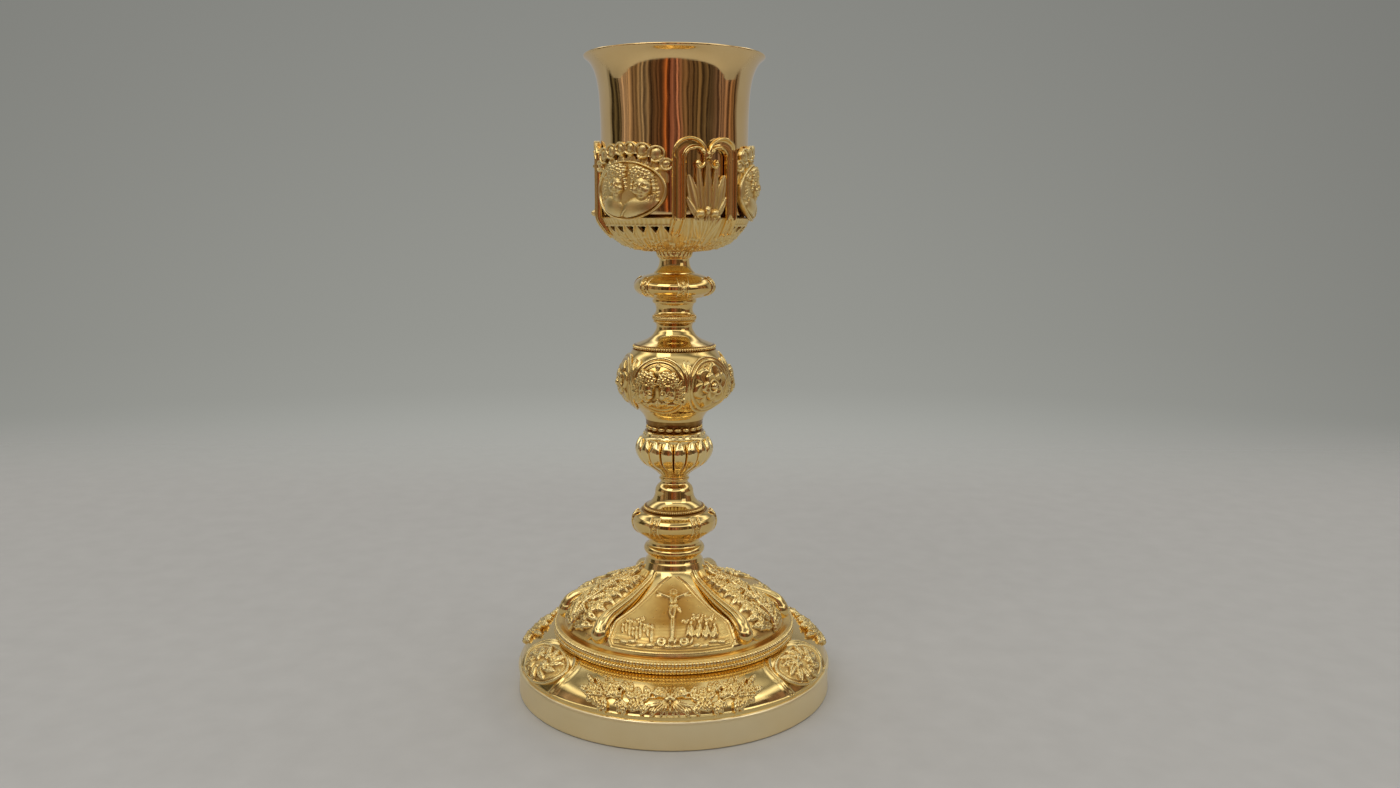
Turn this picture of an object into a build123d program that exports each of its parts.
from build123d import *
import os
from math import cos, hypot, radians, sin

# Communion chalice: a bowl in an openwork calyx on a stem of hollow beads, clamped to a
# raised foot by one tie rod. Millimetres, +Z up, origin at the centre of the foot's underside.

# ---- driving dimensions ----
total_height = 300.0
foot_radius = 76.2
rim_radius = 41.5
bowl_radius = 34.1
knop_radius = 27.0
sheet = 1.2
thick_sheet = 1.6

# ---- heights of the stack, from the surface it stands on ----
band_top = 13.4
skirt_top = 26.6
ring_top = 33.4
dome_top = 62.6
collar_top = 74.2
lower_knop_top = 87.4
lower_bead_top = 90.0
bell_top = 100.4
fillet_top = 104.8
vase_top = 126.6
vase_collar_top = 132.4
cup_top = 137.4
knop_top = 165.8
knop_bead_top = 168.4
knop_bell_top = 178.2
milled_collar_top = 182.8
spool_top = 190.0
upper_knop_top = 201.6
neck_top = 209.4
leaf_ring_top = 212.2
dish_top = 227.0
arch_top = 262.5

# ---- fastening ----
rod_radius = 3.0
slip = 0.05
rod_bore = rod_radius + slip
coupler_radius = 5.6
coupler_bore = coupler_radius + 0.1
thread_travel = 10.0
nut_height = 5.0
washer_height = 1.4
plate_height = 2.4
plate_bottom = 58.0
floor_thickness = 1.4
seat_washer_height = 1.0

# ---- ornament ----
rib_turns = (-40, 40, 80, 160, -160, -80)
scene_turns = (0, 120, -120)
foliage_turns = (60, 180, -60)
cherub_turns = (-16, 104, -136)
rosette_turns = (44, 164, -76)
medallion_turns = (-35, 85, -155)
arch_turns = (25, 145, -95)
lower_clasp_turns = tuple(-27 + 60 * i for i in range(6))
upper_clasp_turns = tuple(-46 + 60 * i for i in range(6))


def outward(turn, height=0.0, reach=0.0):
    """Plane that faces outward at a turn about the stem; 0 is the front and plus is to the right."""
    x = sin(radians(turn))
    y = -cos(radians(turn))
    return Plane(origin=(reach * x, reach * y, height), x_dir=(-y, x, 0), z_dir=(x, y, 0))


def half_plane(turn):
    """Plane through the stem's axis at a turn, with x outward and y up."""
    x = sin(radians(turn))
    y = -cos(radians(turn))
    return Plane(origin=(0, 0, 0), x_dir=(x, y, 0), z_dir=(y, -x, 0))


def lining(outline, wall):
    """Points one wall thickness inside an outline that is drawn from low to high."""
    low = outline[0][1] + wall
    high = outline[-1][1] - wall
    points = []
    for before, here, after in zip(outline, outline[1:], outline[2:]):
        run = after[0] - before[0]
        rise = after[1] - before[1]
        length = hypot(run, rise)
        inside = (here[0] - wall * rise / length, here[1] + wall * run / length)
        if low + 0.3 < inside[1] < high - 0.3:
            points.append(inside)
    for end, beside, level in ((outline[0], outline[1], low), (outline[-1], outline[-2], high)):
        run = beside[0] - end[0]
        rise = beside[1] - end[1]
        side = 1 if rise > 0 else -1
        length = hypot(run, rise)
        reach = end[0] - wall * abs(rise) / length
        height = end[1] + side * wall * run / length
        reach += (level - height) * run / rise
        points.insert(0 if side > 0 else len(points), (reach, level))
    return points


def hollow_section(outline, bore, wall=sheet):
    """Half section of a hollow bead: a skin under the outline, with end walls round the bore."""
    low = outline[0][1]
    high = outline[-1][1]
    inside = lining(outline, wall)
    with BuildSketch(Plane.XZ) as section:
        with BuildLine():
            Spline(*outline)
            Polyline(outline[-1], (bore, high), (bore, low), outline[0])
        make_face()
        with BuildLine():
            Spline(*inside)
            Polyline(inside[-1], (bore, high - wall), (bore, low + wall), inside[0])
        make_face(mode=Mode.SUBTRACT)
    return section.sketch


def solid_section(outline, bore):
    """Half section of a turned ring, solid from its outline in to its bore."""
    with BuildSketch(Plane.XZ) as section:
        with BuildLine():
            Polyline(*outline, (bore, outline[-1][1]), (bore, outline[0][1]), close=True)
        make_face()
    return section.sketch


def wrapped_plates(outer, half_angle, turns, core):
    """Plates that lie on a turned core under an outer line, each a slice of a full turn."""
    with BuildPart() as plates:
        for turn in turns:
            with BuildSketch(half_plane(turn - half_angle)):
                with BuildLine():
                    Spline(*outer)
                    Polyline(outer[-1], (9.0, outer[-1][1]), (9.0, outer[0][1]), outer[0])
                make_face()
            revolve(axis=Axis.Z, revolution_arc=2 * half_angle)
        add(core, mode=Mode.SUBTRACT)
    return plates


def turned_core(outline):
    """Solid of a turned outline, filled in to the axis."""
    with BuildPart() as core:
        with BuildSketch(Plane.XZ):
            with BuildLine():
                Spline(*outline)
                Polyline(outline[-1], (0, outline[-1][1]), (0, outline[0][1]), outline[0])
            make_face()
        revolve(axis=Axis.Z)
    return core.part


# ================================ foot ================================
with BuildPart() as foot_band:
    with BuildSketch(Plane.XZ):
        with BuildLine():
            Polyline((foot_radius - 5, 0), (foot_radius - 0.4, 0), (foot_radius, 0.8),
                     (foot_radius - 0.2, band_top - 1.4), (foot_radius + 0.2, band_top - 0.8),
                     (foot_radius - 0.2, band_top), (foot_radius - 3.4, band_top),
                     (foot_radius - 3.4, band_top - thick_sheet),
                     (foot_radius - thick_sheet - 0.2, band_top - thick_sheet),
                     (foot_radius - thick_sheet, thick_sheet),
                     (foot_radius - 5, thick_sheet), close=True)
        make_face()
    revolve(axis=Axis.Z)

skirt_outline = ((foot_radius - 0.9, band_top), (foot_radius - 2.4, 18.6), (70.2, 21.9),
                 (64.4, 24.4), (57.0, skirt_top))
with BuildPart() as foot_skirt:
    with BuildSketch(Plane.XZ):
        with BuildLine():
            Spline(*skirt_outline)
            Polyline(skirt_outline[-1], (54.2, skirt_top), (54.2, skirt_top - thick_sheet))
            Spline((54.2, skirt_top - thick_sheet), (63.6, 22.8), (68.8, 20.4), (72.2, 17.4),
                   (foot_radius - 3.0, band_top))
            Line((foot_radius - 3.0, band_top), skirt_outline[0])
        make_face()
    revolve(axis=Axis.Z)

skirt_core = turned_core(skirt_outline)

with BuildPart() as milled_ring:
    with BuildSketch(Plane.XZ):
        with BuildLine():
            Polyline((56.8, skirt_top), (58.0, 27.6))
            ThreePointArc((58.0, 27.6), (58.9, 29.8), (57.6, 32.0))
            Polyline((57.6, 32.0), (56.4, ring_top), (52.8, ring_top), (52.8, skirt_top),
                     (56.8, skirt_top))
        make_face()
    revolve(axis=Axis.Z)

# Dome: three recessed scene panels and three raised foliage panels on one skin.
dome_outline = ((54.0, ring_top), (53.4, 36.0), (50.6, 40.0), (45.6, 43.6), (39.6, 45.6),
                (32.4, 48.2), (25.4, 51.4), (19.4, 55.0), (15.4, 59.2), (14.0, dome_top))
dome_lining = [(r - sheet * 0.75, z - sheet * 0.8) for r, z in dome_outline[1:-1]]
with BuildPart() as foot_dome:
    with BuildSketch(Plane.XZ):
        with BuildLine():
            Spline(*dome_outline)
            Line((14.0, dome_top), (14.0 - sheet, dome_top))
            Spline((14.0 - sheet, dome_top), *dome_lining[::-1], (54.0 - thick_sheet, ring_top))
            Line((54.0 - thick_sheet, ring_top), (54.0, ring_top))
        make_face()
    revolve(axis=Axis.Z)

dome_core = turned_core(dome_outline)

foliage_line = ((54.4, 35.4), (52.0, 40.4), (47.4, 46.0), (40.6, 51.4), (31.0, 55.8), (21.0, 57.6))
foliage_panels = wrapped_plates(foliage_line, 15.5, foliage_turns, dome_core)
scene_line = ((54.8, 35.2), (51.4, 40.4), (45.9, 44.7), (39.9, 46.6), (32.8, 49.2),
              (25.9, 52.3), (20.6, 55.6))
scene_panels = wrapped_plates(scene_line, 34.0, scene_turns, dome_core)

rib_line = ((50.4, 40.2), (45.6, 43.8), (39.6, 45.9), (32.4, 48.5), (25.4, 51.7), (19.6, 55.2),
            (15.9, 59.4))
rib_radius = 1.9
volute_radius = 4.1
volute_reach = 51.4
volute_height = 37.6
with BuildPart() as scroll_ribs:
    for turn in rib_turns:
        with BuildLine(half_plane(turn)) as rib_path:
            Spline(*rib_line)
        with BuildSketch(Plane(origin=rib_path.line @ 0, z_dir=rib_path.line % 0)):
            Circle(rib_radius)
        sweep(path=rib_path.line)
        with Locations(outward(turn, volute_height, volute_reach)):
            Sphere(volute_radius)
    add(dome_core, mode=Mode.SUBTRACT)
    add(foliage_panels.part, mode=Mode.SUBTRACT)
    add(scene_panels.part, mode=Mode.SUBTRACT)
    with Locations((0, 0, ring_top)):
        Cylinder(70, 10, align=(Align.CENTER, Align.CENTER, Align.MAX), mode=Mode.SUBTRACT)

relief_line = ((foot_radius - 0.2, 15.2), (73.9, 20.0), (70.2, 24.2), (64.8, 26.6), (60.4, 27.6))
with BuildPart() as relief_zone:
    with BuildSketch(Plane.XZ):
        with BuildLine():
            Spline(*relief_line)
            Polyline(relief_line[-1], (60.4, band_top + 1.8), relief_line[0])
        make_face()
    revolve(axis=Axis.Z)
    add(skirt_core, mode=Mode.SUBTRACT)

with BuildPart() as skirt_garlands:
    for turn in scene_turns:
        for k in range(-4, 5):
            with Locations(outward(turn + 8.2 * k, 20.6, 70.2)):
                Sphere(5.6)
    add(relief_zone.part, mode=Mode.INTERSECT)

with BuildPart() as skirt_medallions:
    for turn in foliage_turns:
        with Locations(outward(turn, 20.6, 69.0)):
            Sphere(9.0)
    add(relief_zone.part, mode=Mode.INTERSECT)

# ================================ stem, from the foot up ================================
collar_outline = ((13.6, dome_top), (13.1, 64.8), (14.6, 68.6), (12.4, 72.4), (12.9, collar_top))
with BuildPart() as base_collar:
    add(hollow_section(collar_outline, rod_bore))
    revolve(axis=Axis.Z)

lower_knop_outline = ((12.9, collar_top), (15.9, 75.9), (18.9, 78.2), (20.3, 81.8), (20.1, 84.8),
                      (18.3, 86.8), (16.4, lower_knop_top))
with BuildPart() as lower_knop:
    add(hollow_section(lower_knop_outline, rod_bore))
    revolve(axis=Axis.Z)

clasp_line = ((19.4, 77.6), (21.0, 79.8), (21.3, 82.6), (20.9, 85.2), (19.2, 86.9))
lower_knop_clasps = wrapped_plates(clasp_line, 6.8, lower_clasp_turns, turned_core(lower_knop_outline))

with BuildPart() as lower_bead_ring:
    with BuildSketch(Plane.XZ):
        with BuildLine():
            Line((13.4, lower_knop_top), (13.8, 87.8))
            ThreePointArc((13.8, 87.8), (14.9, 88.7), (13.8, 89.6))
            Polyline((13.8, 89.6), (13.4, lower_bead_top), (rod_bore, lower_bead_top),
                     (rod_bore, lower_knop_top), (13.4, lower_knop_top))
        make_face()
    revolve(axis=Axis.Z)

bell_outline = ((13.4, lower_bead_top), (11.2, 91.9), (9.7, 93.9), (9.2, 95.6), (8.9, 98.0),
                (7.2, bell_top))
with BuildPart() as stem_bell:
    add(hollow_section(bell_outline, rod_bore))
    revolve(axis=Axis.Z)

with BuildPart() as stem_fillet:
    add(solid_section(((7.2, bell_top), (6.5, 101.2), (6.4, 102.2), (6.9, 102.6), (6.9, 103.2),
                       (6.5, 103.6), (7.1, fillet_top)), rod_bore))
    revolve(axis=Axis.Z)

vase_outline = ((7.1, fillet_top), (9.1, 106.7), (12.0, 108.7), (15.4, 111.0), (17.5, 113.8),
                (18.8, 117.4), (18.6, 120.0), (17.4, 122.6), (15.6, 125.0), (14.1, vase_top))
with BuildPart() as gadrooned_vase:
    add(hollow_section(vase_outline, rod_bore))
    revolve(axis=Axis.Z)

with BuildPart() as vase_collar:
    add(hollow_section(((14.1, vase_top), (13.4, 128.8), (13.4, 130.6), (13.9, vase_collar_top)),
                       rod_bore))
    revolve(axis=Axis.Z)

cup_outline = ((13.9, vase_collar_top), (14.5, 133.8), (15.8, 135.6), (17.6, cup_top))
with BuildPart() as knop_cup:
    add(hollow_section(cup_outline, rod_bore))
    revolve(axis=Axis.Z)

knop_outline = ((17.6, cup_top), (21.4, 140.0), (24.6, 142.8), (26.3, 146.2), (knop_radius, 150.0),
                (knop_radius + 0.1, 153.4), (26.3, 157.2), (24.1, 160.9), (21.6, 164.0),
                (20.6, knop_top))
with BuildPart() as knop:
    add(hollow_section(knop_outline, rod_bore, thick_sheet))
    revolve(axis=Axis.Z)

knop_core = turned_core(knop_outline)
knop_zone = turned_core(((19.6, 138.0), (22.8, 139.6), (26.2, 142.4), (28.0, 146.0), (28.7, 150.0),
                         (28.8, 153.6), (27.9, 157.8), (25.7, 161.6), (22.6, 165.4)))
roundel_radius = 13.2
roundel_height = 151.8
roundel_reach = 16.0


def roundels(turns, boss_radius):
    """Framed discs standing out of the knop, each with a boss in its dished middle."""
    with BuildPart() as discs:
        for turn in turns:
            with BuildSketch(outward(turn, roundel_height, roundel_reach)):
                Circle(roundel_radius)
            extrude(amount=14.0)
            with BuildSketch(outward(turn, roundel_height, roundel_reach + 11.6)):
                Circle(roundel_radius - 1.8)
            extrude(amount=4.0, mode=Mode.SUBTRACT)
            with BuildSketch(outward(turn, roundel_height, roundel_reach)):
                Circle(boss_radius)
            extrude(amount=14.0)
        add(knop_core, mode=Mode.SUBTRACT)
        add(knop_zone, mode=Mode.INTERSECT)
    return discs


cherub_roundels = roundels(cherub_turns, 5.6)
rosette_roundels = roundels(rosette_turns, 3.4)

with BuildPart() as knop_bead_ring:
    with BuildSketch(Plane.XZ):
        with BuildLine():
            Line((19.4, knop_top), (19.6, 166.2))
            ThreePointArc((19.6, 166.2), (20.5, 167.1), (19.6, 168.0))
            Polyline((19.6, 168.0), (19.4, knop_bead_top), (rod_bore, knop_bead_top),
                     (rod_bore, knop_top), (19.4, knop_top))
        make_face()
    revolve(axis=Axis.Z)

knop_bell_outline = ((18.8, knop_bead_top), (16.2, 169.3), (12.7, 170.8), (10.2, 172.7),
                     (9.0, 174.7), (8.6, 176.6), (9.0, knop_bell_top))
with BuildPart() as knop_bell:
    add(hollow_section(knop_bell_outline, rod_bore))
    revolve(axis=Axis.Z)

with BuildPart() as milled_collar:
    add(solid_section(((9.0, knop_bell_top), (9.6, 178.8), (9.6, 179.6), (10.5, 180.2), (10.5, 182.0),
                       (9.8, 182.4), (9.4, milled_collar_top)), rod_bore))
    revolve(axis=Axis.Z)

spool_outline = ((9.4, milled_collar_top), (8.7, 184.6), (9.0, 186.2), (9.9, 188.0),
                 (11.2, spool_top))
with BuildPart() as upper_spool:
    add(hollow_section(spool_outline, rod_bore))
    revolve(axis=Axis.Z)

upper_knop_outline = ((11.2, spool_top), (14.2, 191.0), (17.6, 192.8), (19.1, 195.4), (18.8, 197.0),
                      (17.2, 198.8), (14.2, 200.5), (10.6, upper_knop_top))
with BuildPart() as upper_knop:
    add(hollow_section(upper_knop_outline, coupler_bore))
    revolve(axis=Axis.Z)

upper_clasp_line = ((17.8, 192.2), (19.4, 193.6), (19.9, 195.6), (19.4, 197.4), (17.8, 199.2))
upper_knop_clasps = wrapped_plates(upper_clasp_line, 7.0, upper_clasp_turns,
                                   turned_core(upper_knop_outline))

with BuildPart() as stem_neck:
    add(solid_section(((9.8, upper_knop_top), (8.6, 203.1), (7.5, 204.9), (7.05, 207.0),
                       (7.3, neck_top)), coupler_bore))
    revolve(axis=Axis.Z)

with BuildPart() as neck_leaf_ring:
    add(solid_section(((7.3, neck_top), (8.0, 210.2), (7.8, 211.0), (8.5, 211.7),
                       (8.5, leaf_ring_top)), coupler_bore))
    revolve(axis=Axis.Z)

# ================================ calyx ================================
calyx_inner = 34.5
calyx_outer = 35.6
dish_floor = leaf_ring_top + floor_thickness
dish_outline = ((8.8, leaf_ring_top), (14.2, 212.7), (20.0, 213.6), (24.6, 215.4), (28.6, 218.3),
                (31.8, 221.7), (34.0, 224.6), (calyx_outer - 0.3, dish_top))
dish_lining = ((calyx_inner - 0.3, dish_top), (32.8, 224.8), (30.7, 222.3), (27.8, 219.3),
               (24.0, 216.6), (19.8, 214.8), (14.2, 213.9), (9.0, dish_floor))
pierced_triangles = 7
triangle_height = 222.4
with BuildPart() as calyx_dish:
    with BuildSketch(Plane.XZ):
        with BuildLine():
            Spline(*dish_outline)
            Line(dish_outline[-1], dish_lining[0])
            Spline(*dish_lining)
            Polyline(dish_lining[-1], (rod_radius + 0.3, dish_floor),
                     (rod_radius + 0.3, leaf_ring_top), dish_outline[0])
        make_face()
    revolve(axis=Axis.Z)
    for panel_turn in medallion_turns:
        for k in range(pierced_triangles):
            turn = panel_turn + 10.6 * (k - (pierced_triangles - 1) / 2)
            with BuildSketch(outward(turn, triangle_height, 26.0)):
                Triangle(c=3.8, a=3.2, b=3.2, rotation=180)
            extrude(amount=10.0, mode=Mode.SUBTRACT)


def calyx_zone(outer_line):
    """Ring standing on the dish between the calyx's inner radius and an outer line."""
    with BuildPart() as zone:
        with BuildSketch(Plane.XZ):
            with BuildLine():
                Polyline((calyx_inner, dish_top), outer_line[0])
                Spline(*outer_line)
                Polyline(outer_line[-1], (calyx_inner, outer_line[-1][1]), (calyx_inner, dish_top))
            make_face()
        revolve(axis=Axis.Z)
    return zone.part


wall_zone = calyx_zone(((calyx_outer - 0.3, dish_top), (calyx_outer, 240), (calyx_outer, 265)))
medallion_zone = calyx_zone(((35.6, dish_top), (37.6, 232), (39.5, 238), (39.9, 243), (38.6, 248),
                             (36.2, 252)))
medallion_height = 238.6
medallion_half_width = 18.2
medallion_half_height = 12.9

with BuildPart() as calyx_medallions:
    for turn in medallion_turns:
        with BuildSketch(outward(turn, medallion_height, 20.0)):
            Ellipse(medallion_half_width, medallion_half_height)
        extrude(amount=24.0)
    add(medallion_zone, mode=Mode.INTERSECT)

shell_lobes = 7
with BuildPart() as medallion_shells:
    for turn in medallion_turns:
        with BuildSketch(outward(turn, medallion_height, 20.0)):
            Ellipse(medallion_half_width - 0.6, medallion_half_height + 4.6)
            for k in range(shell_lobes):
                spread = radians(20 * (k - (shell_lobes - 1) / 2))
                with Locations(((medallion_half_width - 3.0) * sin(spread),
                                (medallion_half_height + 5.6) * cos(spread))):
                    Circle(3.2)
            Rectangle(60, 30, align=(Align.CENTER, Align.MAX), mode=Mode.SUBTRACT)
        extrude(amount=24.0)
    add(wall_zone, mode=Mode.INTERSECT)
    add(calyx_medallions.part, mode=Mode.SUBTRACT)

arch_half_width = 15.7
arch_rail = 3.6
arch_centre = arch_top - arch_half_width / 2 - 0.2
with BuildPart() as calyx_arches:
    for turn in arch_turns:
        with BuildSketch(outward(turn, 0, 20.0)):
            with Locations((0, (dish_top + arch_centre) / 2)):
                Rectangle(2 * arch_half_width, arch_centre - dish_top)
            with Locations((-arch_half_width / 2, arch_centre), (arch_half_width / 2, arch_centre)):
                Circle(arch_half_width / 2 + 0.2)
            with Locations((0, (dish_top + arch_centre) / 2)):
                Rectangle(2 * (arch_half_width - arch_rail), arch_centre - dish_top, mode=Mode.SUBTRACT)
            with Locations((-arch_half_width / 2, arch_centre), (arch_half_width / 2, arch_centre)):
                Circle(arch_half_width / 2 + 0.2 - arch_rail, mode=Mode.SUBTRACT)
        extrude(amount=24.0)
    add(wall_zone, mode=Mode.INTERSECT)

with BuildPart() as arch_leaves:
    for turn in arch_turns:
        with BuildSketch(outward(turn, dish_top, 20.0)):
            with Locations((0, 12.0)):
                Ellipse(2.6, 13.4)
            with Locations(Location((-4.0, 9.0), 14), Location((4.0, 9.0), -14)):
                Ellipse(2.4, 9.6)
            with Locations(Location((-6.0, 4.0), 30), Location((6.0, 4.0), -30)):
                Ellipse(2.2, 5.6)
        extrude(amount=24.0)
    add(wall_zone, mode=Mode.INTERSECT)

# ================================ bowl ================================
bowl_wall = 1.1
bowl_bottom = 216.6
corner_radius = 18.0
corner_centre = bowl_bottom + corner_radius
seat_top = dish_floor + seat_washer_height
with BuildPart() as bowl:
    with BuildSketch(Plane.XZ):
        with BuildLine():
            Line((0, bowl_bottom), (bowl_radius - corner_radius, bowl_bottom))
            RadiusArc((bowl_radius - corner_radius, bowl_bottom), (bowl_radius, corner_centre),
                      -corner_radius)
            Line((bowl_radius, corner_centre), (bowl_radius, 268))
            Spline((bowl_radius, 268), (34.35, 276), (34.9, 284), (36.3, 291.4), (38.6, 296.4),
                   (rim_radius, total_height - 0.5), tangents=((0, 1), (1, 0.75)))
            ThreePointArc((rim_radius, total_height - 0.5), (rim_radius - 0.1, total_height),
                          (rim_radius - 0.6, total_height - 0.1))
            Spline((rim_radius - 0.6, total_height - 0.1), (37.7, 297.0), (35.3, 291.8),
                   (33.8, 284), (33.25, 276), (bowl_radius - bowl_wall, 268),
                   tangents=((-1, -0.75), (0, -1)))
            Line((bowl_radius - bowl_wall, 268), (bowl_radius - bowl_wall, corner_centre))
            RadiusArc((bowl_radius - bowl_wall, corner_centre),
                      (bowl_radius - corner_radius, bowl_bottom + bowl_wall),
                      corner_radius - bowl_wall)
            Polyline((bowl_radius - corner_radius, bowl_bottom + bowl_wall),
                     (0, bowl_bottom + bowl_wall), (0, bowl_bottom))
        make_face()
    revolve(axis=Axis.Z)

stud_bottom = neck_top - 8.1
with BuildPart() as bowl_stud:
    with BuildSketch(Plane.XZ):
        with BuildLine():
            Polyline((0, stud_bottom), (rod_radius - 0.5, stud_bottom), (rod_radius, stud_bottom + 0.5),
                     (rod_radius, seat_top), (9.6, seat_top), (10.0, seat_top + 0.4),
                     (10.0, bowl_bottom), (0, bowl_bottom), close=True)
        make_face()
    revolve(axis=Axis.Z)

with BuildPart() as seat_washer:
    with BuildSketch(Plane.XY.offset(dish_floor)):
        Circle(8.6)
        Circle(rod_bore, mode=Mode.SUBTRACT)
    extrude(amount=seat_washer_height)

# ================================ fastening ================================
coupler_top = leaf_ring_top - 0.4
rod_top = stud_bottom - 1.3
nut_top = plate_bottom - washer_height
rod_bottom = nut_top - nut_height - 5.6

with BuildPart() as rod_coupler:
    with BuildSketch(Plane.XY.offset(spool_top)):
        Circle(coupler_radius)
        Circle(rod_bore, mode=Mode.SUBTRACT)
    extrude(amount=coupler_top - spool_top)
    chamfer(rod_coupler.edges().filter_by(GeomType.CIRCLE).group_by(Axis.Z)[-1].sort_by(SortBy.RADIUS)[-1],
            length=0.4)

with BuildPart() as tie_rod:
    with BuildSketch(Plane.XY.offset(rod_bottom)):
        Circle(rod_radius)
    extrude(amount=rod_top - rod_bottom)
    chamfer(tie_rod.edges().filter_by(GeomType.CIRCLE), length=0.5)

with BuildPart() as dome_plate:
    with BuildSketch(Plane.XY.offset(plate_bottom)):
        Circle(14.7)
        Circle(rod_bore, mode=Mode.SUBTRACT)
    extrude(amount=plate_height)
    add(foot_dome.part, mode=Mode.SUBTRACT)

with BuildPart() as foot_washer:
    with BuildSketch(Plane.XY.offset(nut_top)):
        Circle(10.0)
        Circle(rod_bore, mode=Mode.SUBTRACT)
    extrude(amount=washer_height)

with BuildPart() as foot_nut:
    with BuildSketch(Plane.XY.offset(nut_top - nut_height)):
        RegularPolygon(radius=5.0, side_count=6, major_radius=False)
        Circle(rod_bore, mode=Mode.SUBTRACT)
    extrude(amount=nut_height)

# ================================ write ================================
pieces = {
    "foot_band": foot_band,
    "foot_skirt": foot_skirt,
    "skirt_garlands": skirt_garlands,
    "skirt_medallions": skirt_medallions,
    "milled_ring": milled_ring,
    "foot_dome": foot_dome,
    "scroll_ribs": scroll_ribs,
    "scene_panels": scene_panels,
    "foliage_panels": foliage_panels,
    "dome_plate": dome_plate,
    "foot_washer": foot_washer,
    "foot_nut": foot_nut,
    "tie_rod": tie_rod,
    "rod_coupler": rod_coupler,
    "base_collar": base_collar,
    "lower_knop": lower_knop,
    "lower_knop_clasps": lower_knop_clasps,
    "lower_bead_ring": lower_bead_ring,
    "stem_bell": stem_bell,
    "stem_fillet": stem_fillet,
    "gadrooned_vase": gadrooned_vase,
    "vase_collar": vase_collar,
    "knop_cup": knop_cup,
    "knop": knop,
    "cherub_roundels": cherub_roundels,
    "rosette_roundels": rosette_roundels,
    "knop_bead_ring": knop_bead_ring,
    "knop_bell": knop_bell,
    "milled_collar": milled_collar,
    "upper_spool": upper_spool,
    "upper_knop": upper_knop,
    "upper_knop_clasps": upper_knop_clasps,
    "stem_neck": stem_neck,
    "neck_leaf_ring": neck_leaf_ring,
    "calyx_dish": calyx_dish,
    "calyx_arches": calyx_arches,
    "arch_leaves": arch_leaves,
    "calyx_medallions": calyx_medallions,
    "medallion_shells": medallion_shells,
    "seat_washer": seat_washer,
    "bowl_stud": bowl_stud,
    "bowl": bowl,
}

os.makedirs("parts", exist_ok=True)
for name, piece in pieces.items():
    piece.part.label = name
    export_step(piece.part, f"parts/{name}.step")
